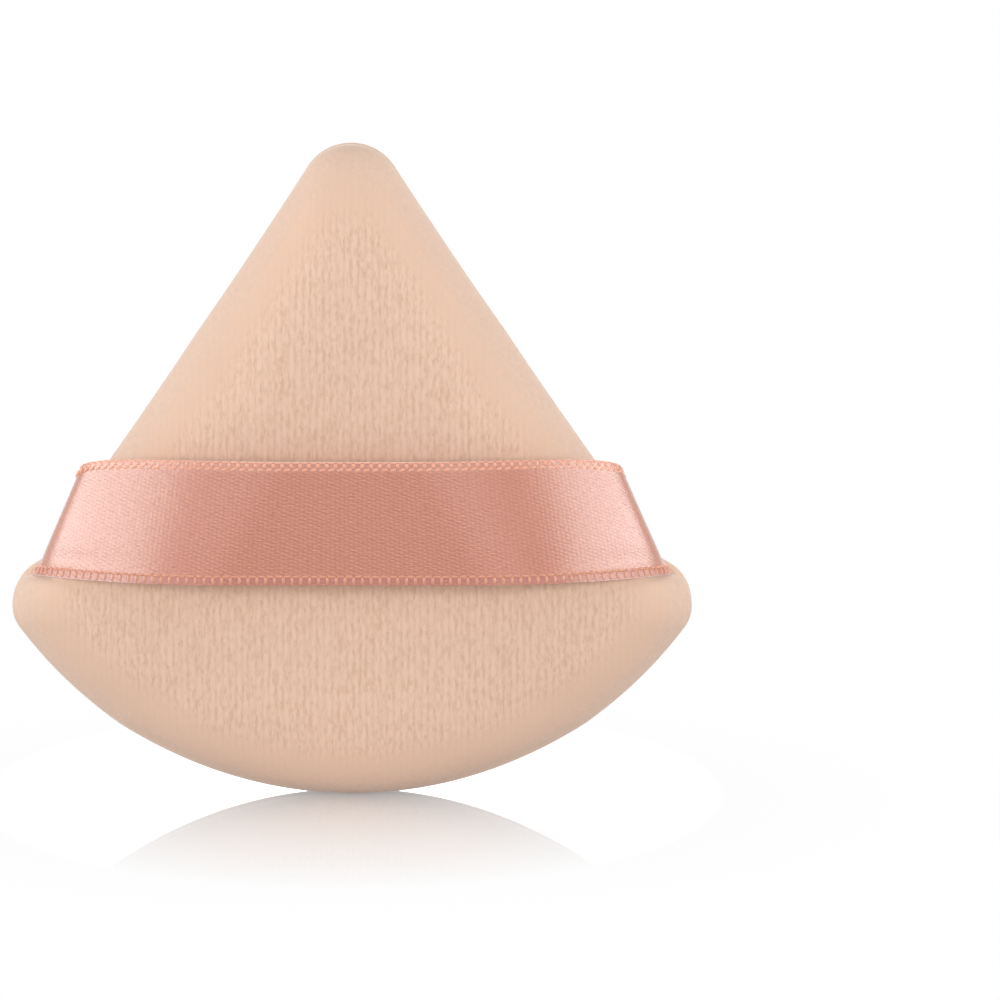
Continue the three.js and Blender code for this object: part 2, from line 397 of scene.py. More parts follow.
def wave(kind, turns):
    """The sine or cosine of a number of turns."""
    return math_node(kind, times(turns, math.tau))


def map_range(value, source, target, smooth=False):
    """Maps a value from one range to another, and holds it at the ends."""
    kind = "SMOOTHSTEP" if smooth else "LINEAR"
    return fed_node("ShaderNodeMapRange", (value, *source, *target), interpolation_type=kind)[0]


def vector_node(operation, *values):
    return fed_node("ShaderNodeVectorMath", values, operation=operation)


def object_place(tree):
    return add_node(tree, "ShaderNodeTexCoord").outputs["Object"]


def split_place(place):
    return fed_node("ShaderNodeSeparateXYZ", (place,))


def mix_color(share, first, second):
    """Mixes two colours, each a socket or a plain colour, by a share."""
    node = add_node(share.id_data, "ShaderNodeMix", data_type="RGBA")
    for index, value in ((0, share), (6, first), (7, second)):
        feed(node.inputs[index], value)
    return node.outputs[2]


def shaded(color, factors):
    """A colour with each channel multiplied by its own factor, at full alpha."""
    return (*(min(1.0, channel * factor) for channel, factor in zip(color, factors)), 1)


def varied(share, color, low, high):
    """Mixes two tints of one colour by a share."""
    return mix_color(share, shaded(color, (low, low, low)), shaded(color, (high, high, high)))


def fibre_grain_group():
    """Node group: soft random grain whose cells have their own size along each axis."""
    name = "fibre_grain"
    if name in bpy.data.node_groups:
        return bpy.data.node_groups[name]
    tree = bpy.data.node_groups.new(name, "ShaderNodeTree")
    for socket, direction, kind in (
        ("Vector", "INPUT", "NodeSocketVector"),
        ("Density", "INPUT", "NodeSocketVector"),
        ("Contrast", "INPUT", "NodeSocketFloat"),
        ("Grain", "OUTPUT", "NodeSocketFloat"),
    ):
        tree.interface.new_socket(socket, in_out=direction, socket_type=kind)
    inside = tree.nodes.new("NodeGroupInput").outputs
    outside = tree.nodes.new("NodeGroupOutput").inputs
    mean = 0.5
    scaled = vector_node("MULTIPLY", inside["Vector"], inside["Density"])[0]
    noise = add_node(tree, "ShaderNodeTexNoise", Vector=scaled, Scale=1.0, Detail=3.0, Roughness=0.6)
    stretched = times(minus(noise.outputs["Fac"], mean), inside["Contrast"])
    feed(outside["Grain"], plus(stretched, mean))
    return tree


def fibre_grain(vector, density, contrast):
    """Places the grain group in a material; returns its Grain output."""
    values = vector, density, contrast
    return fed_node("ShaderNodeGroup", values, node_tree=fibre_grain_group())["Grain"]


def new_material(name, plain_values):
    """A node material with its tree and its Principled shader, whose even inputs are set."""
    material = bpy.data.materials.new(name)
    material.use_nodes = True
    shader = material.node_tree.nodes["Principled BSDF"]
    for socket, value in plain_values.items():
        shader.inputs[socket].default_value = value
    return material, material.node_tree, shader


def surface(shader, color, roughness, relief, strength, distance):
    """Feeds a shader its colour, its roughness, and its relief through a Bump node."""
    bump = add_node(shader.id_data, "ShaderNodeBump", Strength=strength, Distance=distance, Height=relief)
    feed(shader.inputs["Normal"], bump.outputs["Normal"])
    feed(shader.inputs["Base Color"], color)
    feed(shader.inputs["Roughness"], roughness)


def velour_material(pad, form):
    """Knitted velour: upright wales of short pile, smoother where a face turns into the seam, with a painted
    sheen that makes it paler there.
    """
    plain_values = {
        "Specular IOR Level": 0.15,
        "Sheen Weight": 0.6,
        "Sheen Roughness": 0.35,
        "Sheen Tint": (1.0, 0.92, 0.88, 1),
    }
    material, tree, shader = new_material("velour", plain_values)
    even_nap, quiet_nap, rim_share = 0.6, 0.15, 0.9
    quiet_depths = form.crown - 0.1 * MM, form.crown - 1.2 * MM
    rim_depths = form.crown - 0.8 * MM, form.crown - 3.2 * MM
    place = object_place(tree)
    x, y, _ = split_place(place)
    wander = fibre_grain(place, density=(260, 60, 90), contrast=1.2)
    turns = plus(times(x, 1 / pad.wale_pitch), wander)
    wales = map_range(wave("SINE", turns), (-1, 0.4), (-0.2, 0.08), smooth=True)
    tufts = fibre_grain(place, density=(3900, 300, 1250), contrast=2.1)
    strands = map_range(tufts, (-0.1, 0.75), (0, 0.9), smooth=True)
    depth = math_node("ABSOLUTE", minus(y, form.seam))
    calm = map_range(depth, quiet_depths, (1, quiet_nap), smooth=True)
    nap = minus(plus(strands, wales), even_nap)
    nap = plus(times(nap, calm), even_nap)
    deep = shaded(pad.velour_color, (0.87, 0.82, 0.76))
    bright = shaded(pad.velour_color, (1.05, 1.07, 1.09))
    # Painted sheen: towards the seam the pile is mixed to a paler colour, in place of the light that slanted
    # pile catches
    painted_sheen_share = map_range(depth, rim_depths, (0, rim_share), smooth=True)
    fuzz = fibre_grain(place, density=(2200, 2200, 2200), contrast=1.6)
    painted_sheen = varied(fuzz, pad.painted_pile_sheen_color, low=0.93, high=1.07)
    color = mix_color(painted_sheen_share, mix_color(nap, deep, bright), painted_sheen)
    roughness = map_range(nap, (0, 1), (0.86, 0.98))
    surface(shader, color, roughness, times(tufts, calm), strength=0.25, distance=0.08 * MM)
    return material


def satin_material(ribbon, length):
    """Satin: long floats along the ribbon, tied down in rows, with a directional gloss."""
    plain_values = {
        "Anisotropic": 0.3,
        "Anisotropic Rotation": 0.25,
        "IOR": 1.72,
        "Specular IOR Level": 1.0,
        "Sheen Weight": 1.0,
        "Sheen Roughness": 0.35,
        "Sheen Tint": WHITE,
    }
    material, tree, shader = new_material("satin", plain_values)
    # The weave is drawn on the flat ribbon, in millimetres along it and across it
    column_pitch, row_pitch, stagger, slant = 0.456, 0.395, 0.46, 0.45
    weave_share, float_share = 0.5, 0.7
    top = ribbon.width / MM
    low_edge, high_edge = (0.8, 1.1), (top - 1.1, top - 0.9)
    flat = add_node(tree, "ShaderNodeUVMap", uv_map="UVMap").outputs["UV"]
    place = vector_node("MULTIPLY", flat, (length / MM, top, 1))[0]
    along, across, _ = split_place(place)
    wander = fibre_grain(place, density=(0.4, 0.6, 1), contrast=0.6)
    columns = plus(times(along, 1 / column_pitch), wander)
    off_middle = minus(math_node("FRACT", columns), 0.5)
    dash = map_range(wave("COSINE", off_middle), (-1.3, 0.5), (0, 1), smooth=True)
    lean = times(off_middle, slant * column_pitch / row_pitch)
    step = times(math_node("FLOOR", columns), stagger)
    rows = plus(times(across, 1 / row_pitch), plus(lean, step))
    ridge = map_range(wave("COSINE", rows), (-1, 1), (0, 1))
    weave = times(times(dash, ridge), weave_share)
    floats = fibre_grain(place, density=(1.6, 5.5, 1), contrast=2.6)
    relief = plus(weave, times(floats, float_share))
    # Painted shade: under the lower loops the satin is mixed to a deeper tone in place of the shade between
    # the loops, and made less glossy there
    lower_edge_shade_mask = map_range(across, low_edge, (0.7, 0), smooth=True)
    pale_edge = map_range(across, high_edge, (0, 0.3), smooth=True)
    # Weave tones: the paler, whiter floats are partly the weave's own tone and partly painted glint off the
    # floats
    deep = shaded(ribbon.satin_color, (0.78, 0.54, 0.0))
    bright = shaded(ribbon.satin_color, (1.23, 1.52, 2.6))
    color = mix_color(relief, deep, bright)
    color = mix_color(lower_edge_shade_mask, color, shaded(ribbon.satin_color, (0.8, 0.55, 0.3)))
    color = mix_color(pale_edge, color, shaded(ribbon.edge_color, (0.75, 0.75, 0.75)))
    roughness = map_range(times(relief, minus(1.0, lower_edge_shade_mask)), (0, 1), (0.37, 0.29))
    surface(shader, color, roughness, relief, strength=0.3, distance=0.05 * MM)
    tangent = add_node(tree, "ShaderNodeTangent", direction_type="UV_MAP", uv_map="UVMap")
    feed(shader.inputs["Tangent"], tangent.outputs[0])
    return material


def edge_material(name, yarn_color):
    """Woven edge: the same yarn as the satin, in short raised loops."""
    plain_values = {"Specular IOR Level": 1.0, "Sheen Weight": 0.1, "Sheen Roughness": 0.5}
    material, tree, shader = new_material(name, plain_values)
    twist = fibre_grain(object_place(tree), density=(3800, 3800, 3800), contrast=2.0)
    color = varied(twist, yarn_color, low=0.88, high=1.12)
    roughness = map_range(twist, (0, 1), (0.48, 0.36))
    surface(shader, color, roughness, twist, strength=0.3, distance=0.04 * MM)
    return material


def foam_material(pad):
    """Open-cell foam: pale, matt and pitted."""
    material, tree, shader = new_material("foam", {"Specular IOR Level": 0.2})
    place = object_place(tree)
    cells = add_node(tree, "ShaderNodeTexVoronoi", Vector=place, Scale=1400.0)
    grain = fibre_grain(place, density=(900, 900, 900), contrast=1.5)
    pits = times(cells.outputs["Distance"], grain)
    color = varied(pits, pad.foam_color, low=0.8, high=1.0)
    roughness = map_range(grain, (0, 1), (0.85, 0.98))
    surface(shader, color, roughness, pits, strength=0.6, distance=0.2 * MM)
    return material


def thread_material(pad):
    """Sewing thread: two plies that wind round each other."""
    material, tree, shader = new_material("thread", {})
    ply_pitch = 0.5 * MM
    place = object_place(tree)
    x, y, z = split_place(place)
    plies = math_node("SINE", times(plus(x, plus(y, z)), math.tau / ply_pitch))
    fuzz = fibre_grain(place, density=(6000, 6000, 6000), contrast=1.6)
    relief = times(map_range(plies, (-1, 1), (0, 1)), fuzz)
    color = varied(relief, pad.thread_color, low=0.7, high=1.1)
    roughness = map_range(relief, (0, 1), (0.65, 0.45))
    surface(shader, color, roughness, relief, strength=0.4, distance=0.05 * MM)
    return material


# Covers


def swelling(form, facing, cells, frames):
    """How far each point of a coarse sheet swells when a cloth simulation fills it against its sewn edge."""
    scale, most, start_fullness, ease_passes = 20, 0.8 * MM, 0.95, 10
    hold_start = 0.8 * form.DOME_SHARE
    sheet = grid_object("filled_sheet", cells, cells)
    square = get_points(sheet.data)[:, :2]
    start, sewn = form.cover_points(square, facing, start_fullness)
    set_points(sheet.data, start * scale)
    group = sheet.vertex_groups.new(name="sewn_edge")
    group.add(sewn.tolist(), 1.0, "REPLACE")
    cloth = sheet.modifiers.new("Swell", "CLOTH")
    settings = cloth.settings
    settings.quality = 8
    settings.mass = 0.3
    settings.tension_stiffness = 18
    settings.compression_stiffness = 18
    settings.shear_stiffness = 8
    settings.bending_stiffness = 4
    settings.vertex_group_mass = group.name
    settings.use_pressure = True
    settings.uniform_pressure_force = 5
    settings.effector_weights.gravity = 0
    cloth.collision_settings.use_collision = False
    cloth.point_cache.frame_start = 1
    cloth.point_cache.frame_end = frames
    for step in range(1, frames + 1):
        bpy.context.scene.frame_set(step)
    apply_modifier(sheet, cloth)
    bpy.context.scene.frame_set(1)
    full, _ = form.cover_points(square, facing)
    moved = get_points(sheet.data) / scale - full
    bpy.data.objects.remove(sheet)
    far = np.linalg.norm(moved, axis=1, keepdims=True)
    ring = np.abs(square).max(axis=1, keepdims=True)
    held = 1 - smoothstep(ring, hold_start, form.DOME_SHARE)
    field = np.zeros((cells + 1, cells + 1, 3))
    column, row = grid_places(square, cells)
    field[row, column] = moved * held * np.minimum(1, most / np.maximum(far, TINY))
    return eased_field(field, ease_passes)


def eased_field(field, passes):
    """Evens out a square field of values, so that no crease of the coarse sheet is left in it."""
    neighbour, own = 0.25, 0.5
    for _ in range(passes):
        for axis in (0, 1):
            wide = np.pad(field, [(1, 1) if side == axis else (0, 0) for side in range(3)], mode="edge")
            before = np.take(wide, range(field.shape[axis]), axis)
            after = np.take(wide, range(2, field.shape[axis] + 2), axis)
            field = neighbour * before + own * field + neighbour * after
    return field


def grid_places(square, cells):
    """Column and row of each point of a grid that runs from -1 to 1."""
    places = np.rint((square + 1) / 2 * cells).astype(int)
    return places[:, 0], places[:, 1]


def finer_field(field, factor):
    """Interpolates a square field of values smoothly, with several steps for each of its cells."""
    for axis in (0, 1):
        field = np.moveaxis(field, axis, 0)
        cells = len(field) - 1
        spots = np.linspace(0, cells, cells * factor + 1)
        cell = np.minimum(spots.astype(int), cells - 1)
        t = (spots - cell)[:, None, None]
        a, b = field[np.maximum(cell - 1, 0)], field[cell]
        c, d = field[cell + 1], field[np.minimum(cell + 2, cells)]
        cubic = 2 * a - 5 * b + 4 * c - d + t * (3 * (b - c) + d - a)
        field = np.moveaxis(b + 0.5 * t * (c - a + t * cubic), 0, axis)
    return field


def drawn_in_beside_ribbon(points, form, ribbon, pulled):
    """The sewn ribbon ends pull a cover's edge in beside them, and the corners under them puff out."""
    pull_rise, pull_fall, drop_share = (0, 0.2), (0.35, 0.8), 0.3
    puffed, puff_height, puff_drop = 0.5 * MM, 1.4 * MM, 0.7 * MM
    fade_depths = 2.5 * MM, 5 * MM
    fade_start, fade_end = 6 * MM, 2.5 * MM
    low, high = ribbon_foot(form, ribbon)
    share = (points[:, 2] - low) / (high - low)
    pull = pulled * smoothstep(share, *pull_rise) * (1 - smoothstep(share, *pull_fall))
    over_puff = (points[:, 2] - low + puff_drop) / puff_height
    pull = pull - puffed * np.exp(-(over_puff**2))
    depth = np.abs(points[:, 1] - form.seam)
    pull = pull * (1 - smoothstep(depth, *fade_depths))
    edge = form.side_at(points[:, 2])
    pull = pull * smoothstep(np.abs(points[:, 0]), edge - fade_start, edge - fade_end)
    points[:, 0] -= np.sign(points[:, 0]) * form.side_normal[0] * pull
    points[:, 2] -= form.side_normal[1] * pull * drop_share
    return points


def pressed_under_ribbon(points, form, ribbon):
    """The ribbon's ends press the front cover in, so that it stays just under them."""
    pivot, room, fade_low, fade_high = 18 * MM, 0.4 * MM, 0.7 * MM, 2.5 * MM
    quarter, share_steps, angle_steps = math.pi / 2, 24, 90
    angles = np.linspace(0, quarter, angle_steps + 1)
    reaches = []
    for share in np.linspace(0, 1, share_steps + 1):
        path = ribbon_path(form, ribbon, share)
        right = path[len(path) // 2 : -1]
        out, depth = right[:, 0] - pivot, form.seam - right[:, 1]
        turn = np.arctan2(depth, out)[::-1]
        reaches.append(np.interp(angles, turn, np.hypot(out, depth)[::-1]))
    low, high = ribbon_foot(form, ribbon)
    share = np.clip((points[:, 2] - low) / (high - low), 0, 1) * share_steps
    row = np.minimum(share.astype(int), share_steps - 1)
    out, depth = np.abs(points[:, 0]) - pivot, form.seam - points[:, 1]
    turn = np.clip(np.arctan2(depth, out) / quarter, 0, 1) * angle_steps
    column = np.minimum(turn.astype(int), angle_steps - 1)
    rows, columns = (row, row + 1), (column, column + 1)
    free = between_four(np.array(reaches), rows, columns, share - row, turn - column) - room
    reach = np.hypot(out, depth)
    held = smoothstep(points[:, 2], low - fade_low, low)
    held = held * (1 - smoothstep(points[:, 2], high, high + fade_high))
    press = np.maximum(reach - free, 0) * held * (out > 0)
    points[:, 0] -= np.sign(points[:, 0]) * press * out / reach
    points[:, 1] += press * depth / reach
    return points


def parted_round_ribbon(points, form, ribbon):
    """The seam stands open by the ribbon's thickness where the ribbon is caught in it."""
    ease, slack = 0.6 * MM, 0.02 * MM
    low, high = ribbon_foot(form, ribbon)
    held = smoothstep(points[:, 2], low - ease, low)
    held = held * (1 - smoothstep(points[:, 2], high - ease, high))
    offset = points[:, 1] - form.seam
    room = held * (ribbon.thickness / 2 + slack)
    points[:, 1] = form.seam + np.copysign(np.hypot(offset, room), offset)
    return points


def brushed_nap(points, form, facing):
    """Height of the brushed pile at each point, in shares of its relief: fine streaks over broader tufts."""
    streak_width, streak_length, streak_seed = 0.5 * MM, 1.3 * MM, 3
    tuft_width, tuft_length, tuft_seed, tuft_share = 1.0 * MM, 2.2 * MM, 8, 0.6
    face_start, face_full = 0.45 * form.crown, 0.85 * form.crown
    x, depth, z = points[:, 0], np.abs(points[:, 1] - form.seam), points[:, 2]
    streaks = value_noise(x / streak_width, z / streak_length, seed=streak_seed + facing)
    tufts = value_noise(x / tuft_width, z / tuft_length, seed=tuft_seed + facing)
    return smoothstep(depth, face_start, face_full) * (streaks + tuft_share * tufts)


def over_floor(points):
    """Presses flat what would reach under the floor."""
    points[:, 2] = np.maximum(points[:, 2], 0)
    return points


def velour_cover(name, form, facing, settings):
    """One cover: a square sheet laid over the form, swelled, brushed and given its thickness."""
    pad, ribbon, stage = settings
    coarse_cells, factor, back_pull = 54, 4, 0.75 * MM
    cells = coarse_cells * factor
    cover = grid_object(name, cells, cells)
    square = get_points(cover.data)[:, :2]
    points, _ = form.cover_points(square, facing)
    column, row = grid_places(square, cells)
    field = swelling(form, facing, coarse_cells, stage.sim_frames)
    points += finer_field(field, factor)[row, column]
    in_front = facing < 0
    points = drawn_in_beside_ribbon(points, form, ribbon, 0 if in_front else back_pull)
    if in_front:
        points = pressed_under_ribbon(points, form, ribbon)
    points = parted_round_ribbon(points, form, ribbon)
    set_points(cover.data, points)
    normals = read_vectors(cover.data.vertex_normals, "vector")
    points += normals * pad.nap_relief * brushed_nap(points, form, facing)[:, None]
    set_points(cover.data, over_floor(points))
    modify(cover, "SOLIDIFY", thickness=pad.velour_thickness, offset=-1)
    set_points(cover.data, over_floor(get_points(cover.data)))
    bpy.ops.object.shade_smooth()
    return cover


class PUFF_OT_velour_covers(bpy.types.Operator):
    """Makes the front and back velour covers, swelled by a cloth simulation"""

    bl_idname = "puff.velour_covers"
    bl_label = "Velour Covers"

    def execute(self, context):
        scene = context.scene
        settings = scene.puff_pad, scene.puff_ribbon, scene.puff_stage
        form = PadForm(scene.puff_pad)
        velour = velour_material(scene.puff_pad, form)
        for name, node, facing in (
            ("front_velour", "front_cover", -1),
            ("back_velour", "back_cover", 1),
        ):
            cover = velour_cover(name, form, facing, settings)
            cover.data.materials.append(velour)
            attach(cover, "pad")
            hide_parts(node)
        return {"FINISHED"}


class PUFF_OT_foam_filling(bpy.types.Operator):
    """Makes the foam filling, rounded off from the CAD core"""

    bl_idname = "puff.foam_filling"
    bl_label = "Foam Filling"

    def execute(self, context):
        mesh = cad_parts["foam_core"].data.copy()
        mesh.name = "foam_filling"
        mesh.materials.clear()
        filling = bpy.data.objects.new("foam_filling", mesh)
        context.scene.collection.objects.link(filling)
        edit_all(filling, bpy.ops.mesh.remove_doubles, threshold=0.001 * MM)
        modify(filling, "REMESH", mode="VOXEL", voxel_size=0.6 * MM)
        modify(filling, "SMOOTH", factor=0.5, iterations=6)
        bpy.ops.object.shade_smooth()
        filling.data.materials.append(foam_material(context.scene.puff_pad))
        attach(filling, "pad")
        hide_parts("foam_core")
        return {"FINISHED"}


# Ribbon


def ribbon_foot(form, ribbon):
    """Heights of the ribbon's lower and upper edge where its ends are sewn in."""
    low = form.side_low[1] + ribbon.rise
    return low, low + ribbon.width - ribbon.tuck_low - ribbon.tuck_high


def ribbon_front(form):
    """Depth of the ribbon's flat front, measured out from the seam, at mid thickness."""
    band_low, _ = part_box("ribbon_band")
    tail_low, tail_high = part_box("ribbon_tail_left")
    return form.seam - band_low.y - (tail_high.y - tail_low.y) / 2


def ribbon_path(form, ribbon, share, samples=120):
    """The ribbon's line from its left to its right end, at a share of its width from the lower edge."""
    valley, drop_power = 0.7 * MM, 4
    straight_share, swing_power = 0.15, 0.7
    lean_depth, settle_reach = 0.45, 0.5
    foot_low, foot_high = ribbon_foot(form, ribbon)
    foot = foot_low + share * (foot_high - foot_low)
    level = foot_low - ribbon.tuck_low + share * ribbon.width
    depth = ribbon_front(form)
    side = form.side_at(foot)
    normal = form.side_normal
    ramp = max(share - straight_share, 0) / (1 - straight_share)
    swing = ribbon.swing_low + ramp**swing_power * (ribbon.swing_high - ribbon.swing_low)
    inner = side - valley * normal[0]
    start = np.array([inner, 0])
    lean = np.array([side + swing, lean_depth * depth])
    settle = np.array([inner - settle_reach * ribbon.arch_reach, depth])
    end = np.array([inner - ribbon.arch_reach, depth])
    t = np.linspace(0, 1, samples)[:, None]
    rest = 1 - t
    bow = rest**3 * start + 3 * rest**2 * t * lean + 3 * rest * t**2 * settle + t**3 * end
    sewn_height = foot - valley * normal[1]
    height = level + (sewn_height - level) * rest**drop_power
    arch = np.concatenate([bow, height], axis=1)
    tail = arch[0] - (ribbon.tail - valley) * np.array([normal[0], 0, normal[1]])
    right = np.concatenate([arch[::-1], [tail]])
    left = right[::-1] * (-1, 1, 1)
    path = np.concatenate([left, right])
    path[:, 1] = form.seam - path[:, 1]
    return path


def spaced_along(path, shares):
    """Points at given shares of a path's length."""
    length = run_length(path)
    spots = shares * length[-1]
    return np.stack([np.interp(spots, length, path[:, axis]) for axis in range(3)], axis=1)


def ribbon_blend(piece):
    """Bakes the piece's placement into its mesh."""
    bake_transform(piece)


def edge_frames(form, ribbon, share, count):
    """Place, run, inward and outward direction of each loop along one edge of the ribbon."""
    inward_step, run_step = 0.02, 0.002
    shares = (np.arange(count) + 0.5) / count
    path = ribbon_path(form, ribbon, share)
    inner_path = ribbon_path(form, ribbon, share + (inward_step if share < 0.5 else -inward_step))
    spots = spaced_along(path, shares)
    ahead = spaced_along(path, np.minimum(shares + run_step, 1))
    behind = spaced_along(path, np.maximum(shares - run_step, 0))
    run = ahead - behind
    run /= np.linalg.norm(run, axis=1, keepdims=True)
    inward = spaced_along(inner_path, shares) - spots
    inward -= run * np.sum(inward * run, axis=1, keepdims=True)
    inward /= np.linalg.norm(inward, axis=1, keepdims=True)
    return spots, run, inward, np.cross(run, inward)


class YarnRow(NamedTuple):
    """One row of loops along a woven edge: size and inset in mm, shift in pitches, slant in degrees."""

    size: tuple
    shift: float
    inset: float
    slant: float = 0


def loop_row(name, frames, yarn, pitch):
    """A row of small rounded loops, one shape copied to each frame along an edge."""
    spots, run, inward, outward = frames
    roundness, slant = 0.65, math.radians(yarn.slant)
    bpy.ops.object.select_all(action="DESELECT")
    bpy.ops.mesh.primitive_uv_sphere_add(segments=8, ring_count=5, radius=0.5)
    row = bpy.context.object
    row.name = name
    ball = get_points(row.data)
    bead = np.sign(ball) * np.abs(2 * ball) ** roundness / 2 * (np.array(yarn.size) * MM)
    faces = [tuple(polygon.vertices) for polygon in row.data.polygons]
    along = bead[:, 0] * math.cos(slant) - bead[:, 1] * math.sin(slant) + yarn.shift * pitch
    across = bead[:, 0] * math.sin(slant) + bead[:, 1] * math.cos(slant) + yarn.inset * MM
    points = (
        spots[:, None, :]
        + along[None, :, None] * run[:, None, :]
        + across[None, :, None] * inward[:, None, :]
        + bead[None, :, 2, None] * outward[:, None, :]
    )
    starts = range(0, len(spots) * len(bead), len(bead))
    all_faces = [tuple(start + corner for corner in face) for start in starts for face in faces]
    mesh = bpy.data.meshes.new(name)
    mesh.from_pydata(points.reshape(-1, 3).tolist(), [], all_faces)
    old = row.data
    row.data = mesh
    bpy.data.meshes.remove(old)
    edit_all(row, bpy.ops.mesh.normals_make_consistent, inside=False)
    bpy.ops.object.shade_smooth()
    return row


class PUFF_OT_woven_selvedges(bpy.types.Operator):
    """Makes the looped woven edges of the ribbon"""

    bl_idname = "puff.woven_selvedges"
    bl_label = "Woven Selvedges"

    LOWER_ROWS = (
        YarnRow(size=(0.36, 0.95, 0.46), shift=0, inset=0.48),
        YarnRow(size=(0.86, 0.3, 0.46), shift=0.5, inset=0.9),
    )
    UPPER_ROWS = (
        YarnRow(size=(0.46, 0.54, 0.42), shift=0, inset=0.36),
        YarnRow(size=(0.86, 0.18, 0.36), shift=0.5, inset=0.09),
        YarnRow(size=(0.74, 0.32, 0.44), shift=0.5, inset=0.78, slant=-18),
    )
    # Painted light and shade: the same yarn is painted darker on the lower edge and lighter on the upper
    # edge, as light from above would fall
    LOWER_TINT, UPPER_TINT = (0.91, 0.85, 0.8), (1.16, 1.15, 1.15)

    def execute(self, context):
        scene = context.scene
        ribbon = scene.puff_ribbon
        form = PadForm(scene.puff_pad)
        for name, share, rows, light_and_shade_tint in (
            ("lower_selvedge", 0.0, self.LOWER_ROWS, self.LOWER_TINT),
            ("upper_selvedge", 1.0, self.UPPER_ROWS, self.UPPER_TINT),
        ):
            length = run_length(ribbon_path(form, ribbon, share))[-1]
            frames = edge_frames(form, ribbon, share, round(length / ribbon.stitch_pitch))
            parts = []
            for index, yarn in enumerate(rows):
                parts.append(loop_row(f"{name}_{index}", frames, yarn, ribbon.stitch_pitch))
            loops = parts[0]
            make_active(loops)
            for part in parts:
                part.select_set(True)
            bpy.ops.object.join()
            loops.name = loops.data.name = name
            loops.data.materials.append(edge_material(name, shaded(ribbon.edge_color, light_and_shade_tint)))
            ribbon_blend(loops)
        return {"FINISHED"}


class PUFF_OT_satin_ribbon(bpy.types.Operator):
    """Makes the satin finger ribbon, arched over the face and caught in the side seams"""

    bl_idname = "puff.satin_ribbon"
    bl_label = "Satin Ribbon"

    def execute(self, context):
        scene = context.scene
        ribbon = scene.puff_ribbon
        form = PadForm(scene.puff_pad)
        band = grid_object("satin_ribbon", columns=240, rows=18)
        along, across = (get_points(band.data)[:, :2].T + 1) / 2
        # The grid's rows are told apart by their share of the ribbon's width
        share_digits = 6
        across = np.round(across, share_digits)
        points = np.empty((len(across), 3))
        lengths = []
        for share in np.unique(across):
            in_row = across == share
            path = ribbon_path(form, ribbon, share)
            points[in_row] = spaced_along(path, along[in_row])
            lengths.append(run_length(path)[-1])
        set_points(band.data, points)
        modify(band, "SOLIDIFY", thickness=ribbon.thickness, offset=0)
        bpy.ops.object.shade_smooth_by_angle(angle=math.radians(40))
        length = float(np.mean(lengths))
        band.data.materials.append(satin_material(ribbon, length))
        ribbon_blend(band)
        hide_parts("ribbon_band", "ribbon_tail_left", "ribbon_tail_right")
        return {"FINISHED"}


class PUFF_OT_seam_threads(bpy.types.Operator):
    """Gives the sewn-in threads their twisted yarn finish"""

    bl_idname = "puff.seam_threads"
    bl_label = "Seam Threads"

    def execute(self, context):
        yarn = thread_material(context.scene.puff_pad)
        for node in ("needle_thread", "bobbin_thread", "closing_thread"):
            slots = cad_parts[node].data.materials
            slots.clear()
            slots.append(yarn)
        return {"FINISHED"}


# Stage


def mix_shaders(share, first, second):
    """Mixes the shaders of two sockets by a share."""
    return fed_node("ShaderNodeMixShader", (share, first, second))[0]


def light_path(tree):
    return add_node(tree, "ShaderNodeLightPath").outputs


def white_for_view(rays):
    """Is 1 for rays that show the background: camera, glossy and transmission rays."""
    seen = math_node("MAXIMUM", rays["Is Camera Ray"], rays["Is Glossy Ray"])
    return math_node("MAXIMUM", seen, rays["Is Transmission Ray"])


def floor_material():
    """White table top: it mirrors the puff a little close by, and runs out into plain white."""
    plain_values = {"Base Color": (0.5, 0.5, 0.5, 1), "Roughness": 0.9, "Specular IOR Level": 0.0}
    material, tree, shader = new_material("white_floor", plain_values)
    # Close to the puff, a small share of the floor's own shade shows, and it runs out over this reach
    shade_reach, white_shares = (0.015, 0.07), (0.95, 1)
    # The mirror is strongest at the puff's foot, and fades sooner to the sides than to the front
    mirror_stretch, foot_shift = (1.3, 1, 0), (0, -0.0026, 0)
    mirror_reach, mirror_most, mirror_unseen = 0.05, 0.7, 0.4
    rays = light_path(tree)
    place = object_place(tree)
    reach = vector_node("LENGTH", place)["Value"]
    white = map_range(reach, shade_reach, white_shares, smooth=True)
    glow = add_node(tree, "ShaderNodeEmission", Strength=1.0)
    plain = mix_shaders(times(white, white_for_view(rays)), shader.outputs[0], glow.outputs[0])
    from_foot = vector_node("MULTIPLY_ADD", place, mirror_stretch, foot_shift)[0]
    away = vector_node("LENGTH", from_foot)["Value"]
    polish = map_range(away, (0, mirror_reach), (mirror_most, 0))
    shown = map_range(rays["Is Camera Ray"], (0, 1), (mirror_unseen, 1))
    gloss = add_node(tree, "ShaderNodeBsdfGlossy", Color=WHITE, Roughness=0.03)
    floor = mix_shaders(times(polish, shown), plain, gloss.outputs[0])
    feed(tree.nodes["Material Output"].inputs["Surface"], floor)
    return material


def softbox(name, angle, distance, height, size, power):
    """An even area light that faces the puff's middle, at an angle in degrees from straight in front."""
    turn = math.radians(angle)
    place = Vector((distance * math.sin(turn), -distance * math.cos(turn), height))
    puff_middle = Vector((0, 0, 30 * MM))
    light = bpy.data.lights.new(name, "AREA")
    light.shape = "RECTANGLE"
    light.size, light.size_y = size
    light.energy = power
    lamp = bpy.data.objects.new(name, light)
    lamp.location = place
    lamp.rotation_euler = (puff_middle - place).to_track_quat("-Z", "Y").to_euler()
    bpy.context.scene.collection.objects.link(lamp)


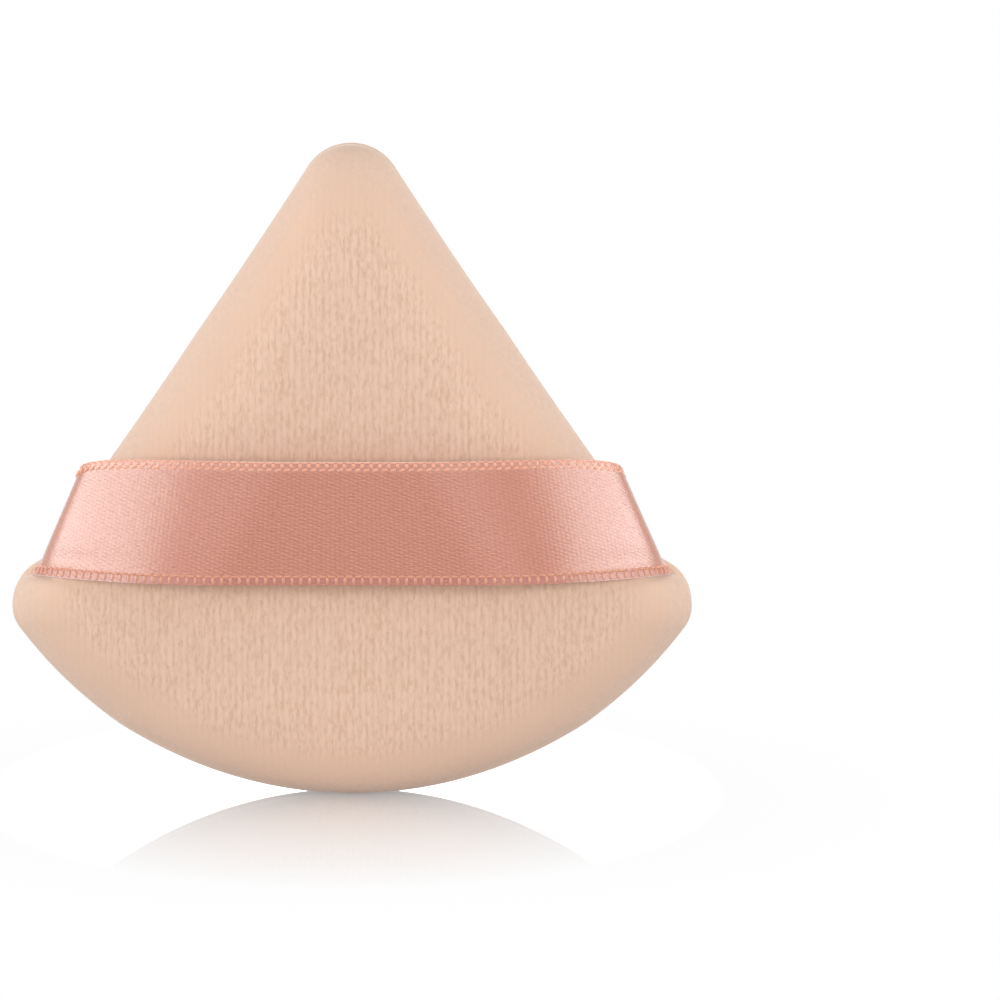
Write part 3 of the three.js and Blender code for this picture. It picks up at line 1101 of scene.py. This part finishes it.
def studio_world(fill):
    """White to look at, and an even fill for the light that it gives."""
    world = bpy.data.worlds.new("studio")
    world.use_nodes = True
    tree = world.node_tree
    light = tree.nodes["Background"]
    light.inputs["Color"].default_value = WHITE
    light.inputs["Strength"].default_value = fill
    shown = add_node(tree, "ShaderNodeBackground", Color=WHITE, Strength=1.0)
    mixed = mix_shaders(white_for_view(light_path(tree)), light.outputs[0], shown.outputs[0])
    feed(tree.nodes["World Output"].inputs["Surface"], mixed)
    bpy.context.scene.world = world


def studio_camera(stage):
    """The camera at its distance and elevation, aimed at the middle of the picture."""
    camera = bpy.data.objects.new("camera", bpy.data.cameras.new("camera"))
    camera.data.sensor_width = 36
    camera.data.lens = camera.data.sensor_width * stage.camera_distance / stage.view_width
    camera.data.clip_start = 0.01
    elevation = stage.camera_elevation
    back = Vector((0, -math.cos(elevation), math.sin(elevation)))
    camera.location = Vector(stage.aim) + back * stage.camera_distance
    camera.rotation_euler = (-back).to_track_quat("-Z", "Y").to_euler()
    return camera


class PUFF_OT_stage(bpy.types.Operator):
    """Sets up the white floor, the soft studio light and the camera"""

    bl_idname = "puff.stage"
    bl_label = "Stage"

    FLOOR_REACH = 0.6

    def execute(self, context):
        scene = context.scene
        stage = scene.puff_stage
        floor = grid_object("floor", columns=2, rows=2)
        set_points(floor.data, get_points(floor.data) * self.FLOOR_REACH)
        floor.data.materials.append(floor_material())
        studio_world(stage.fill)
        for side, angle, distance, height, size, power in (
            ("left", -75, 0.5, 0.1, (0.78, 0.17), stage.left_power),
            ("right", 77, 0.5, 0.1, (0.66, 0.17), stage.right_power),
            ("front", 0, 0.8, 0.2, (0.84, 0.34), stage.front_power),
            ("back", 180, 0.8, 0.3, (1.0, 0.44), stage.back_power),
            ("top", 0, 0.05, 0.5, (0.5, 0.4), stage.top_power),
        ):
            softbox(f"{side}_softbox", angle, distance, height, size, power)
        camera = studio_camera(stage)
        scene.collection.objects.link(camera)
        scene.camera = camera
        scene.view_settings.view_transform = "Standard"
        return {"FINISHED"}


class VIEW3D_PT_powder_puff(bpy.types.Panel):
    """Lists the puff's settings and the operators that build it"""

    bl_idname = "VIEW3D_PT_powder_puff"
    bl_label = "Powder Puff"
    bl_space_type = "VIEW_3D"
    bl_region_type = "UI"
    bl_category = "Puff"

    def draw(self, context):
        layout = self.layout
        scene = context.scene
        for operator in OPERATORS:
            layout.operator(operator.bl_idname)
        for settings in (scene.puff_pad, scene.puff_ribbon, scene.puff_stage):
            box = layout.box()
            for name in settings.__annotations__:
                box.prop(settings, name)


OPERATORS = (
    PUFF_OT_velour_covers,
    PUFF_OT_foam_filling,
    PUFF_OT_woven_selvedges,
    PUFF_OT_satin_ribbon,
    PUFF_OT_seam_threads,
    PUFF_OT_stage,
)
SETTINGS = {
    "puff_pad": PuffPadSettings,
    "puff_ribbon": PuffRibbonSettings,
    "puff_stage": PuffStageSettings,
}


def register():
    for name, settings in SETTINGS.items():
        bpy.utils.register_class(settings)
        setattr(bpy.types.Scene, name, PointerProperty(type=settings))
    for operator in OPERATORS:
        bpy.utils.register_class(operator)
    bpy.utils.register_class(VIEW3D_PT_powder_puff)


def unregister():
    bpy.utils.unregister_class(VIEW3D_PT_powder_puff)
    for operator in reversed(OPERATORS):
        bpy.utils.unregister_class(operator)
    for name, settings in SETTINGS.items():
        delattr(bpy.types.Scene, name)
        bpy.utils.unregister_class(settings)


def main():
    register()
    bpy.ops.puff.velour_covers()
    bpy.ops.puff.foam_filling()
    bpy.ops.puff.woven_selvedges()
    bpy.ops.puff.satin_ribbon()
    bpy.ops.puff.seam_threads()
    bpy.ops.puff.stage()


if __name__ == "__main__":
    main()
